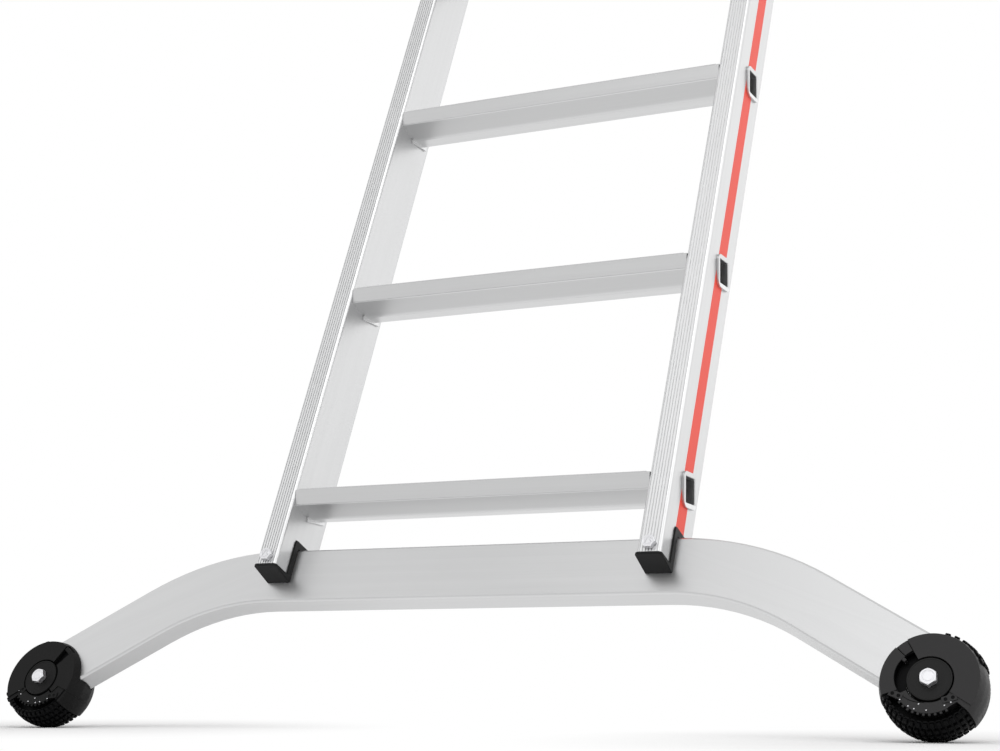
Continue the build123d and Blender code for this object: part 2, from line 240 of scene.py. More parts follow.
class Finish:
    """A material or world and the nodes that make it."""

    def __init__(self, owner):
        owner.use_nodes = True
        self.owner = owner
        self.tree = owner.node_tree
        self.tree.nodes.clear()

    def make(self, kind, settings, sockets):
        """A node of a type: its settings are set first, then the values or links of its sockets."""
        node = self.tree.nodes.new(kind)
        for name, setting in settings.items():
            if name == "stops":
                elements = node.color_ramp.elements
                while len(elements) < len(setting):
                    elements.new(1)
                for element, (place, shade) in zip(elements, setting):
                    element.position = place
                    element.color = (shade, shade, shade, 1)
            else:
                setattr(node, name, setting)
        for key, entry in sockets.items():
            target = node.inputs[key]
            if isinstance(entry, Value):
                self.tree.links.new(entry.socket, target)
            else:
                target.default_value = entry
        return Value(self, node.outputs[0]) if node.outputs else None

    def place(self):
        """Object coordinates, which are the ladder's place in metres."""
        return self.make("ShaderNodeTexCoord", {}, {}).of("Object")

    def grain(self):
        """Coordinates that follow the piece: across, across and along its run."""
        return self.make("ShaderNodeAttribute", {"attribute_name": "grain"}, {}).of("Vector")

    def stretched(self, vector, factors):
        return self.make("ShaderNodeVectorMath", {"operation": "MULTIPLY"}, {0: vector, 1: factors})

    def noise(self, vector, scale, detail=2.0, roughness=0.5):
        sockets = {"Vector": vector, "Scale": scale, "Detail": detail, "Roughness": roughness}
        return self.make("ShaderNodeTexNoise", {"noise_dimensions": "3D"}, sockets)

    def ramp(self, value, stops):
        return self.make("ShaderNodeValToRGB", {"stops": stops}, {"Fac": value})

    def step(self, value, low, high):
        """A soft step from nought at a low to one at a high value."""
        return self.make(
            "ShaderNodeMapRange", {"interpolation_type": "SMOOTHSTEP", "clamp": True},
            {"Value": value, "From Min": low, "From Max": high})

    def parts(self, vector):
        return self.make("ShaderNodeSeparateXYZ", {}, {"Vector": vector})

    def tinted(self, shade, tone):
        """A colour made lighter or darker by a tone around 1."""
        return self.make("ShaderNodeVectorMath", {"operation": "SCALE"}, {0: shade[:], "Scale": tone})

    def bump(self, height, strength, distance):
        sockets = {"Height": height, "Strength": strength, "Distance": distance}
        return self.make("ShaderNodeBump", {}, sockets)

    def seen(self):
        """One for rays that come from the camera or a mirror, so that these see a white room."""
        rays = self.make("ShaderNodeLightPath", {}, {})
        mirrored = rays.of("Is Glossy Ray").highest(rays.of("Is Transmission Ray"))
        return rays.of("Is Camera Ray").highest(mirrored)

    def surface(self, **sockets):
        named = {key.replace("_", " "): entry for key, entry in sockets.items()}
        shader = self.make("ShaderNodeBsdfPrincipled", {}, named)
        self.make("ShaderNodeOutputMaterial", {}, {"Surface": shader})
        return self.owner


def finished(name, recipe):
    """The material of that name, made from its recipe the first time."""
    found = bpy.data.materials.get(name)
    if found:
        return found
    return recipe(Finish(bpy.data.materials.new(name)), bpy.context.scene.ladder_colours)


def drawn_metal(finish, shade, painted_light):
    """Extruded metal with fine lines along its run, painted brighter where its callers paint light on it.
    """
    grain = finish.grain()
    lines = finish.noise(finish.stretched(grain, (1300, 1300, 8)), 1.0, 3.0, 0.6)
    bands = finish.noise(finish.stretched(grain, (170, 170, 1.4)), 1.0, 2.0, 0.5)
    clouds = finish.noise(finish.stretched(grain, (20, 20, 6)), 1.0, 3.0, 0.55)
    # The tone is raised by the light that the callers paint on.
    tone = (0.9 + lines * 0.06 + bands * 0.07 + clouds * 0.07) * painted_light
    gloss = 0.27 + lines * 0.08 + clouds * 0.1
    return finish.surface(
        Base_Color=finish.tinted(shade, tone), Metallic=1.0, Roughness=gloss,
        Normal=finish.bump(lines * 0.7 + bands * 0.3, 0.05, 0.0001))


def stepped_aluminium(finish, colours):
    """The rungs: painted light underneath and a painted highlight on the nose's lower edge."""
    underside, nose_low, nose_front = (0.0130, 0.0148), (0.0018, 0.0026), (0.0408, 0.0416)
    parts = finish.parts(finish.grain())
    # Masks of the painted light underneath and of the painted highlight on the nose's lower edge.
    below = finish.step(0.0 - parts.of("X"), *underside)
    edge = finish.step(0.0 - parts.of("X"), *nose_low) * finish.step(0.0 - parts.of("Y"), *nose_front)
    return drawn_metal(finish, colours.aluminium, 1.0 + below * 0.16 + edge * 0.2)


def ribbed_aluminium(finish, colours):
    """The stiles: their ribbed fronts are painted lighter, a painted highlight on the ribs."""
    depth = finish.parts(finish.grain()).of("Y")
    # Mask of the painted highlight on the ribbed front.
    front = finish.step(depth, STILE_HIGH.z - 0.0040, STILE_HIGH.z - 0.0012)
    return drawn_metal(finish, colours.aluminium, 1.0 + front * 0.22)


def edged_aluminium(finish, colours):
    """The bar: painted light underneath, and most of all a painted highlight on the edge in front of that.
    """
    parts = finish.parts(finish.grain())
    # Masks of the painted light underneath and of the painted highlight on the edge in front of it.
    below = finish.step(0.0 - parts.of("X"), BAR_HALF - 0.0022, BAR_HALF - 0.0004)
    front = finish.step(parts.of("Y"), BAR_HIGH.z - 0.0030, BAR_HIGH.z - 0.0014)
    return drawn_metal(finish, colours.aluminium, 1.0 + below * 0.14 + below * front * 0.12)


def striped_film(finish, colours):
    grain = finish.grain()
    mottle = finish.noise(grain, 900.0, 3.0, 0.6)
    waves = finish.noise(finish.stretched(grain, (60, 60, 12)), 1.0, 2.0, 0.5)
    tone = 0.93 + mottle * 0.06 + waves * 0.08
    return finish.surface(
        Base_Color=finish.tinted(colours.film, tone), Roughness=0.36 + mottle * 0.14,
        Specular_IOR_Level=0.24, Normal=finish.bump(mottle + waves, 0.15, 0.0001))


def moulded_plastic(finish, colours):
    place = finish.place()
    pores = finish.noise(place, 1600.0, 2.0, 0.6)
    clouds = finish.noise(place, 45.0, 3.0, 0.55)
    tone = 0.8 + clouds * 0.45
    return finish.surface(
        Base_Color=finish.tinted(colours.plastic, tone), Roughness=0.4 + pores * 0.14 + clouds * 0.08,
        Specular_IOR_Level=0.18, Normal=finish.bump(pores, 0.25, 0.00015))


def ball_plastic(finish, shade, gloss):
    place = finish.place()
    pores = finish.noise(place, 1400.0, 2.0, 0.6)
    flow = finish.noise(place, 70.0, 4.0, 0.55)
    tone = 0.75 + flow * 0.5
    return finish.surface(
        Base_Color=finish.tinted(shade, tone), Roughness=0.36 + pores * 0.14 + flow * 0.1,
        Specular_IOR_Level=gloss, Normal=finish.bump(pores + flow, 0.25, 0.00014))


def foot_plastic(finish, colours):
    return ball_plastic(finish, colours.foot, 0.32)


# Painted shade: a darker, less glossy copy of the foot's plastic, for the pieces of the left foot that lie
# in shade.
def dull_foot_plastic(finish, colours):
    return ball_plastic(finish, colours.dull_foot, 0.12)


def turned_plastic(finish, colours):
    """The hub's face: fine rings about its bolt, read from the grain."""
    grain = finish.grain()
    rings = finish.noise(finish.stretched(grain, (600, 1, 1)), 1.0, 2.0, 0.7)
    flow = finish.noise(finish.place(), 120.0, 3.0, 0.5)
    tone = 0.2 + rings * 1.4 + flow * 0.25
    return finish.surface(
        Base_Color=finish.tinted(colours.hub, tone), Roughness=0.34 + rings * 0.2,
        Specular_IOR_Level=0.2, Normal=finish.bump(rings, 0.4, 0.0003))


# Rubber of the treads; the same dark rubber is used for the pieces that paint the shade in the pocket, the
# holes and the slit.
def tread_rubber(finish, colours):
    place = finish.place()
    pores = finish.noise(place, 1100.0, 3.0, 0.65)
    dust = finish.ramp(finish.noise(place, 160.0, 4.0, 0.6), [(0.45, 0.0), (0.75, 1.0)])
    tone = 0.8 + dust * 0.9
    return finish.surface(
        Base_Color=finish.tinted(colours.rubber, tone), Roughness=0.36 + pores * 0.2,
        Specular_IOR_Level=0.08, Normal=finish.bump(pores, 0.3, 0.0002))


def zinc_steel(finish, colours):
    place = finish.place()
    grain = finish.noise(place, 900.0, 3.0, 0.6)
    spangle = finish.noise(place, 220.0, 3.0, 0.6)
    tone = 0.78 + spangle * 0.3 + grain * 0.12
    return finish.surface(
        Base_Color=finish.tinted(colours.zinc, tone), Metallic=1.0, Roughness=0.14 + spangle * 0.16,
        Normal=finish.bump(grain, 0.2, 0.0001))


def floor_paint(finish, colours):
    """Near-white floor that turns into the white room away from the feet."""
    place = finish.place()
    parts = finish.parts(place)
    aside = abs(parts.of("X")) - FOOT["right"].x
    ahead = parts.of("Y") - FOOT["right"].y
    reach = (aside * aside + ahead * ahead) ** 0.5
    speckle = finish.noise(place, 60.0, 3.0, 0.6)
    paint = finish.make(
        "ShaderNodeBsdfDiffuse", {}, {"Color": finish.tinted(colours.floor, 0.99 + speckle * 0.02)})
    away = finish.step(reach, 0.06, 0.42)
    white = finish.make("ShaderNodeEmission", {}, {"Strength": 1.0})
    mixed = finish.make("ShaderNodeMixShader", {}, {0: away * finish.seen(), 1: paint, 2: white})
    finish.make("ShaderNodeOutputMaterial", {}, {"Surface": mixed})
    return finish.owner


def only(piece):
    """Select one piece and nothing else."""
    for other in bpy.context.view_layer.objects:
        other.select_set(False)
    piece.select_set(True)
    bpy.context.view_layer.objects.active = piece


def deselect():
    bpy.ops.object.select_all(action="DESELECT")


def applied(piece):
    """Keep the place, turn and scale of a piece in its mesh."""
    only(piece)
    bpy.ops.object.transform_apply(location=True, rotation=True, scale=True)
    return piece


def edit(piece):
    only(piece)
    bpy.ops.object.mode_set(mode="EDIT")


def edit_all(piece):
    """Edit a piece with all of it selected."""
    edit(piece)
    bpy.ops.mesh.select_all(action="SELECT")


def done():
    bpy.ops.object.mode_set(mode="OBJECT")


def face_out(piece):
    """Let all faces of a piece look outward."""
    edit_all(piece)
    bpy.ops.mesh.normals_make_consistent(inside=False)
    done()


def weld(piece):
    """Join the loose triangles of a piece to whole faces."""
    edit_all(piece)
    bpy.ops.mesh.remove_doubles(threshold=WELD)
    bpy.ops.mesh.dissolve_limited(angle_limit=FLAT)
    done()


def pick(piece, kind, test):
    """Select the vertices, edges or faces of a piece in edit mode that pass a test."""
    bpy.ops.mesh.select_mode(type={"vertices": "VERT", "edges": "EDGE", "polygons": "FACE"}[kind])
    bpy.ops.mesh.select_all(action="DESELECT")
    done()
    for item in getattr(piece.data, kind):
        item.select = bool(test(item))
    bpy.ops.object.mode_set(mode="EDIT")


def bevel(width, segments):
    """Round the picked edges."""
    bpy.ops.mesh.bevel(offset=width, segments=segments, clamp_overlap=False)


def inset(width, rise=0):
    """Draw the picked face in by a width and let it rise."""
    bpy.ops.mesh.inset(thickness=width, depth=rise)


def edge_ends(piece, edge):
    return [piece.data.vertices[index].co for index in edge.vertices]


def on_level(piece, edge, level):
    return all(abs(end.z - level) < NEAR for end in edge_ends(piece, edge))


def fresh(name):
    """Name the piece that was just made."""
    piece = bpy.context.object
    piece.name = name
    piece.data.name = name
    return piece


def block(name, size, place):
    """A box of a size about a place."""
    deselect()
    bpy.ops.mesh.primitive_cube_add(size=1, location=place)
    piece = fresh(name)
    piece.scale = size
    return applied(piece)


def drum(name, radius, low, high, place=(0, 0), sides=48):
    """A round or many-sided bar from a low to a high level."""
    deselect()
    bpy.ops.mesh.primitive_cylinder_add(
        vertices=sides, radius=radius, depth=high - low, location=(*place, (low + high) / 2))
    return applied(fresh(name))


def spun(name, section, start, end, steps):
    """A section of radii and levels, spun about the z axis between two angles."""
    deselect()
    bpy.ops.mesh.primitive_circle_add(vertices=len(section), fill_type="NGON")
    piece = fresh(name)
    for vertex, (reach, level) in zip(piece.data.vertices, section):
        vertex.co = (reach * cos(radians(start)), reach * sin(radians(start)), level)
    edit_all(piece)
    bpy.ops.mesh.spin(steps=steps, angle=radians(start - end), center=(0, 0, 0), axis=(0, 0, 1))
    bpy.ops.mesh.select_all(action="SELECT")
    bpy.ops.mesh.remove_doubles(threshold=WELD)
    bpy.ops.mesh.fill_holes(sides=0)
    done()
    face_out(piece)
    return piece


def arc_block(name, reach, levels, ends, steps):
    """A curved block between two radii, two levels and two angles."""
    (inside, outside), (low, high) = reach, levels
    section = [(inside, low), (outside, low), (outside, high), (inside, high)]
    return spun(name, section, *ends, steps)


def cut(piece, tool, operation="DIFFERENCE"):
    """Cut a piece with a tool, or keep what both share, and take the tool away."""
    only(piece)
    change = piece.modifiers.new("cut", "BOOLEAN")
    change.operation = operation
    change.solver = "EXACT"
    change.object = tool
    bpy.ops.object.modifier_apply(modifier="cut")
    bpy.data.objects.remove(tool)


def rounded(piece, width, segments=2, limit=30.0):
    """Round the edges of a piece."""
    only(piece)
    edges = piece.modifiers.new("edges", "BEVEL")
    edges.width = width
    edges.segments = segments
    edges.limit_method = "ANGLE"
    edges.angle_limit = radians(limit)
    edges.use_clamp_overlap = True
    bpy.ops.object.modifier_apply(modifier="edges")


def smooth(piece, limit=35.0):
    """Shade a piece smooth, with its flat faces kept flat beside their rounded edges."""
    only(piece)
    bpy.ops.object.shade_smooth_by_angle(angle=radians(limit))
    weights = piece.modifiers.new("flats", "WEIGHTED_NORMAL")
    weights.keep_sharp = True
    bpy.ops.object.modifier_apply(modifier="flats")


def copied(piece, name):
    """A copy of a piece with its own mesh."""
    twin = bpy.data.objects.new(name, piece.data.copy())
    bpy.context.scene.collection.objects.link(twin)
    twin.data.name = name
    return twin


def copies(piece, places):
    """Copies of a shape at several places, which take the place of the shape itself."""
    shapes = []
    for place in places:
        shape = copied(piece, piece.name)
        shape.matrix_world = place
        shapes.append(shape)
    bpy.data.objects.remove(piece)
    return shapes


def welded_copy(node, name):
    """A copy of a node's shape as a piece of its own, in whole faces."""
    piece = copied(frame["nodes"][node], name)
    piece.data.materials.clear()
    weld(piece)
    return piece


def set_grain(piece, rule):
    """Store the run of a piece on its points, for finishes that follow it."""
    grain = piece.data.attributes.get("grain")
    if grain is None:
        grain = piece.data.attributes.new("grain", "FLOAT_VECTOR", "POINT")
    for vertex, entry in zip(piece.data.vertices, grain.data):
        entry.vector = rule(vertex.co)


def stile_run(point):
    own = own_point(point)
    return (own.x, own.z, own.y)


def settle(piece, place):
    """Put a piece that was modelled in its own frame in its place."""
    piece.matrix_world = place @ piece.matrix_world
    applied(piece)


def turned(piece, degrees):
    """Turn a piece about the z axis of its own frame."""
    piece.rotation_euler.z = radians(degrees)
    return applied(piece)


def mirror_twin(piece, name):
    """The mirror image of a piece in its own frame."""
    twin = copied(piece, name)
    twin.scale.x = -1
    applied(twin)
    face_out(twin)
    return twin


def joined(pieces, name):
    """Several shapes as one piece."""
    bpy.context.view_layer.update()
    only(pieces[0])
    for piece in pieces[1:]:
        piece.select_set(True)
    bpy.ops.object.join()
    return fresh(name)


def hand_over(piece, body, slot, recipe, *nodes):
    """Give a finished piece its material and body, and hide the nodes that it stands for; its slot is not
    used.
    """
    piece.data.materials.clear()
    piece.data.materials.append(finished(recipe.__name__, recipe))
    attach(piece, body)
    if nodes:
        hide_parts(*nodes)


def fit_foot(piece, side, body, slot, recipe, *nodes):
    """Set a piece that was modelled about the bolt in its foot, and hand it over."""
    settle(piece, own_frame(FOOT[side]))
    smooth(piece, limit=30)
    hand_over(piece, body, slot, recipe, *nodes)


class LADDER_OT_stiles(bpy.types.Operator):
    """Dress the two box stiles and their coloured stripes"""

    bl_idname = "ladder.stiles"
    bl_label = "Stiles and Stripes"

    groove_count = 7
    rib_field = 0.0094
    overrun = 0.01

    def close_grooves(self, sizes, stile, middle):
        """Bring the floors of the broad grooves in a stile's front up to its face."""
        for vertex in stile.data.vertices:
            own = own_point(vertex.co)
            in_field = abs(own.x - middle) < self.rib_field
            if in_field and own.z > STILE_HIGH.z - sizes.groove_depth:
                own.z = STILE_HIGH.z
                vertex.co = LADDER @ own
        weld(stile)

    def cut_grooves(self, sizes, stile, middle):
        """Cut a row of fine grooves in a stile's front."""
        half_way = (STILE_HIGH.y + STILE_LOW.y) / 2
        run = STILE_HIGH.y - STILE_LOW.y + 2 * self.overrun
        size = (sizes.groove_width, run, 2 * sizes.groove_depth)
        cutters = []
        for number in range(self.groove_count):
            across = middle + (number - (self.groove_count - 1) / 2) * sizes.groove_pitch
            cutters.append(block("cutter", size, (across, half_way, STILE_HIGH.z)))
        cutter = joined(cutters, "cutter")
        settle(cutter, LADDER)
        cut(stile, cutter)

    def execute(self, context):
        sizes = context.scene.ladder_sizes
        for side, sign in SIDES.items():
            stile = welded_copy(f"stile_{side}", f"box_stile_{side}")
            self.close_grooves(sizes, stile, STILE_MIDDLE * sign)
            self.cut_grooves(sizes, stile, STILE_MIDDLE * sign)
            rounded(stile, sizes.stile_edge)
            smooth(stile)
            set_grain(stile, stile_run)
            hand_over(stile, "frame", "aluminium", ribbed_aluminium, f"stile_{side}")
            stripe = welded_copy(f"stripe_{side}", f"film_stripe_{side}")
            smooth(stripe)
            set_grain(stripe, stile_run)
            hand_over(stripe, "frame", "red_film", striped_film, f"stripe_{side}")
        return {"FINISHED"}


class LADDER_OT_rungs(bpy.types.Operator):
    """Dress the step rungs with rounded flanges, sloping webs and ribbed treads"""

    bl_idname = "ladder.rungs"
    bl_label = "Step Rungs"

    edge = 0.0004
    # Lengths that tell edges apart: a flange's corners and the long edges of the tube.
    thinnest_flange, thickest_flange = 0.001, 0.004
    long_edge = 0.2
    # The web stands behind the nose's front, in its underside, in the tube and over the tube's foot.
    web_back, web_rise, web_bite, web_lift = 0.0003, 0.0006, 0.0012, 0.0002
    rib_gap = 0.004
    rib_chamfer = 0.45

    def section(self, sizes, rung):
        """The rung's own directions about the middle of its tube: x across, y to the back, z up."""
        points = [own_point(vertex.co) for vertex in rung.data.vertices]
        low, high = box_of(point for point in points if point.x > STILE_HIGH.x + NEAR)
        tilt = sizes.rung_tilt
        turn = Matrix(((1, 0, 0), (0, sin(tilt), -cos(tilt)), (0, cos(tilt), sin(tilt)))).transposed()
        middle = Vector((0, (low.y + high.y) / 2, (low.z + high.z) / 2))
        return LADDER @ Matrix.Translation(middle) @ turn.to_4x4()

    def round_corners(self, sizes, rung, inward):
        """Round the corners of the flanges, the lower edges of the tube and the rims of its openings."""
        end_face = max(vertex.co.x for vertex in rung.data.vertices)

        def ends(edge):
            return [inward @ point for point in edge_ends(rung, edge)]

        def flange_corner(edge):
            start, end = edge_ends(rung, edge)
            outside = min(abs(start.x), abs(end.x)) > STILE_HIGH.x - NEAR
            return outside and self.thinnest_flange < abs(start.x - end.x) < self.thickest_flange

        def tube_corner(edge):
            start, end = ends(edge)
            low = max(start.z, end.z) < NEAR - sizes.tread_top
            along = abs(start.x - end.x) > self.long_edge and abs(start.y - end.y) < NEAR
            return low and along and abs(abs(start.y) - sizes.tread_back) < NEAR

        def opening(edge):
            return all(
                abs(abs(end.x) - end_face) < NEAR
                and abs(end.y) < sizes.tread_back
                and abs(end.z) < sizes.tread_top
                for end in ends(edge))

        rounds = (
            (flange_corner, sizes.flange_round, 4),
            (tube_corner, sizes.tube_round, 3),
            (opening, sizes.flare, 2),
        )
        edit(rung)
        for test, width, segments in rounds:
            pick(rung, "edges", test)
            bevel(width, segments)
        done()

    def web(self, sizes):
        """Sloping web from the lower edge of the nose back to the foot of the tube."""
        front, back = self.web_back - sizes.tread_front, self.web_bite - sizes.tread_back
        low, high = self.web_lift - sizes.tread_top, self.web_rise - sizes.nose_low
        middle = Vector((0, (front + back) / 2, (low + high) / 2))
        web = block("web", (2 * STILE_LOW.x, back - front, high - low), middle)
        edit(web)
        pick(web, "vertices", lambda vertex: vertex.co.y < middle.y and vertex.co.z < middle.z)
        bpy.ops.transform.translate(value=(0, 0, self.web_lift - sizes.nose_low - low))
        done()
        return web

    def ribs(self, sizes):
        """Ribs along the top of the tread, set into it."""
        reach = 2 * (STILE_LOW.x - self.rib_gap)
        rib = block("rib", (reach, sizes.rib_width, 2 * sizes.rib_height), (0, 0, sizes.tread_top))
        rounded(rib, sizes.rib_height * self.rib_chamfer, segments=1)
        first = sizes.rib_width - sizes.tread_front
        count = int((sizes.tread_back - sizes.rib_width - first) / sizes.rib_pitch) + 1
        places = [Matrix.Translation((0, first + number * sizes.rib_pitch, 0)) for number in range(count)]
        return copies(rib, places)

    def execute(self, context):
        sizes = context.scene.ladder_sizes
        for node in RUNGS:
            rung = welded_copy(node, f"step_{node}")
            section = self.section(sizes, rung)
            inward = section.inverted()
            self.round_corners(sizes, rung, inward)
            rounded(rung, self.edge)
            trim = joined([self.web(sizes), *self.ribs(sizes)], "trim")
            settle(trim, section)
            rung = joined([rung, trim], f"step_{node}")
            smooth(rung)
            set_grain(rung, lambda point: (inward @ point).zyx)
            hand_over(rung, "frame", "aluminium", stepped_aluminium, node)
        return {"FINISHED"}


class LADDER_OT_bar(bpy.types.Operator):
    """Dress the bent stabiliser bar"""

    bl_idname = "ladder.bar"
    bl_label = "Stabiliser Bar"

    bend_start = 0.236
    bend_radius = 0.288
    bend_angle = radians(31.5)

    def run(self, point):
        """Coordinates across the bar, through its depth and along it, through the bends."""
        own = own_point(point)
        side = -1 if own.x < 0 else 1
        bend_level = BAR_HIGH.y - BAR_HALF - self.bend_radius
        from_bend = Vector((abs(own.x) - self.bend_start, own.y - bend_level))
        turn = min(max(atan2(from_bend.x, from_bend.y), 0), self.bend_angle)
        along = Vector((cos(turn), -sin(turn)))
        outward = Vector((sin(turn), cos(turn)))
        run = self.bend_start + self.bend_radius * turn + from_bend.dot(along)
        return (from_bend.dot(outward) - self.bend_radius, own.z, side * run)

    def execute(self, context):
        sizes = context.scene.ladder_sizes
        bar = welded_copy("stabiliser_bar", "bent_bar")
        rounded(bar, sizes.bar_edge, segments=3)
        smooth(bar)
        set_grain(bar, self.run)
        hand_over(bar, "frame", "aluminium", edged_aluminium, "stabiliser_bar")
        return {"FINISHED"}


class LADDER_OT_fittings(bpy.types.Operator):
    """Dress the end shoes and the top caps of the stiles"""

    bl_idname = "ladder.fittings"
    bl_label = "End Shoes and Caps"

    skin_depth = 0.0015
    front_depth = 0.0045
    front_share = 0.6
    corner_steps = 4
    thinnest_liner = 0.002

    def stand_proud(self, sizes, shoe, middle):
        """Let the cap and the liner of a shoe stand proud of the stile's sides and front."""
        half = (STILE_HIGH.x - STILE_LOW.x) / 2

        def in_front(vertex, depth):
            return own_point(vertex.co).z > STILE_HIGH.z - depth

        def skin(vertex):
            return abs(vertex.co.x - middle) > half - self.skin_depth or in_front(vertex, self.skin_depth)

        edit(shoe)
        pick(shoe, "vertices", skin)
        widening = (half + sizes.shoe_lip) / half
        bpy.ops.transform.resize(value=(widening, 1, 1), center_override=(middle, 0, 0))
        pick(shoe, "vertices", lambda vertex: in_front(vertex, self.front_depth))
        bpy.ops.transform.translate(value=OUT * sizes.shoe_lip * self.front_share)
        done()

    def shape_liner(self, sizes, shoe):
        """Let the back of a shoe hang lower, and round the upper corner of its liner."""
        points = [own_point(vertex.co) for vertex in shoe.data.vertices]
        lowest = min(point.y for point in points)
        highest = max(point.y for point in points)
        bar_face = min(point.z for point in points if point.y < lowest + NEAR)
        top = [point for point in points if point.y > highest - NEAR]
        corner = max(point.z for point in top if abs(point.x) > STILE_HIGH.x)

        def low_back(vertex):
            own = own_point(vertex.co)
            return own.y < lowest + NEAR and own.z < bar_face + NEAR

        def top_corner(edge):
            ends = [own_point(point) for point in edge_ends(shoe, edge)]
            on_corner = all(end.y > highest - NEAR and abs(end.z - corner) < NEAR for end in ends)
            return on_corner and abs(ends[0].x - ends[1].x) > self.thinnest_liner

        edit(shoe)
        pick(shoe, "vertices", low_back)
        bpy.ops.transform.translate(value=-UP * sizes.shoe_hang)
        pick(shoe, "edges", top_corner)
        bevel(sizes.shoe_corner, self.corner_steps)
        done()

    def execute(self, context):
        sizes = context.scene.ladder_sizes
        for side, sign in SIDES.items():
            for kind in ("stile_end_shoe", "stile_top_cap"):
                fitting = welded_copy(f"{kind}_{side}", f"{kind}_moulded_{side}")
                if kind == "stile_end_shoe":
                    self.stand_proud(sizes, fitting, STILE_MIDDLE * sign)
                    self.shape_liner(sizes, fitting)
                rounded(fitting, sizes.shoe_edge, segments=3)
                smooth(fitting)
                hand_over(fitting, "frame", "black_plastic", moulded_plastic, f"{kind}_{side}")
        return {"FINISHED"}


class LADDER_OT_fasteners(bpy.types.Operator):
    """Model the bolts and nuts of the bar and the feet"""

    bl_idname = "ladder.fasteners"
    bl_label = "Bolts and Nuts"

    # Shares of the width over the flats.
    collar_share = 0.475
    rim_share = 0.09
    ring_share = 0.06
    # A blank is turned a little wider than the corners, and its ends are turned off inside the flats.
    blank_spare = 1.002
    end_share = 0.95
    end_slope = 0.72
    cut_spare = 0.0005
    # Steps in the top of a head.
    step_width = 0.0004
    dish_depth = 0.0005
    boss_height = 0.0004
    edge = 0.0002
    shank_chamfer = 0.18
    shank_overlap = 0.001
    collar_chamfer = 0.25
    collar_height = 0.0006
    collar_seen = 0.0004
    # Turns of the heads and nuts, in degrees.
    turns = {"bar": {"left": 30, "right": 30}, "foot": {"left": 24, "right": 4}}
    nut_turn = 30

    def hexagon(self, flats, low, high, turn, nut):
        """A hexagon with its corners turned off: at the top of a head, at both ends of a nut."""
        corner = flats / sqrt(3)
        blank = drum("blank", corner * self.blank_spare, low, high, sides=72)
        edit(blank)
        for level in ([high, low] if nut else [high]):
            pick(blank, "edges", lambda edge: on_level(blank, edge, level))
            bevel((corner - flats / 2 * self.end_share) * self.end_slope, segments=1)
        done()
        spare = (high - low) * self.cut_spare
        head = drum("head", corner, low - spare, high + spare, sides=6)
        cut(head, blank, "INTERSECT")
        if not nut:
            edit(head)
            pick(head, "polygons", lambda face: face.normal.z > FACING)
            inset(flats * self.rim_share)
            inset(self.step_width, -self.dish_depth)
            inset(flats * self.ring_share)
            inset(self.step_width, self.boss_height)
            done()
        rounded(head, self.edge, limit=25)
        return turned(head, turn)

    def shank(self, radius, low, high):
        """A round shank with a chamfered end."""
        shank = drum("shank", radius, low, high, sides=40)
        edit(shank)
        pick(shank, "edges", lambda edge: on_level(shank, edge, low))
        bevel(radius * self.shank_chamfer, segments=2)
        done()
        return shank

    def collar(self, flats, low, high):
        """A round washer face under a head or nut."""
        collar = drum("collar", flats * self.collar_share, low, high)
        rounded(collar, (high - low) * self.collar_chamfer, segments=1, limit=40)
        return collar

    def execute(self, context):
        sizes = context.scene.ladder_sizes
        kinds = (
            ("bar", sizes.bar_bolt_flats, sizes.bar_bolt_head, sizes.bar_bolt_shank),
            ("foot", sizes.foot_bolt_flats, sizes.foot_bolt_head, sizes.foot_bolt_shank),
        )
        for kind, flats, head_height, radius in kinds:
            for side in SIDES:
                low, high = node_box(f"{kind}_bolts", side)
                nut_low, nut_high = node_box(f"{kind}_nuts", side)
                centre = (nut_low + nut_high) / 2
                place = LADDER @ Matrix.Translation((centre.x, centre.y, 0))
                seat, nut_seat = high.z - head_height, nut_high.z
                bolt = joined([
                    self.hexagon(flats, seat + self.collar_seen, high.z, self.turns[kind][side], False),
                    self.collar(flats, seat, seat + self.collar_height),
                    self.shank(radius, low.z, seat + self.shank_overlap),
                ], f"{kind}_bolt_{side}")
                nut = joined([
                    self.hexagon(flats, nut_low.z, nut_seat - self.collar_seen, self.nut_turn, True),
                    self.collar(flats, nut_seat - self.collar_height, nut_seat),
                ], f"{kind}_nut_{side}")
                for piece, node in ((bolt, f"{kind}_bolts"), (nut, f"{kind}_nuts")):
                    settle(piece, place)
                    smooth(piece, limit=30)
                    hand_over(piece, "frame", "zinc_steel", zinc_steel, node)
        return {"FINISHED"}


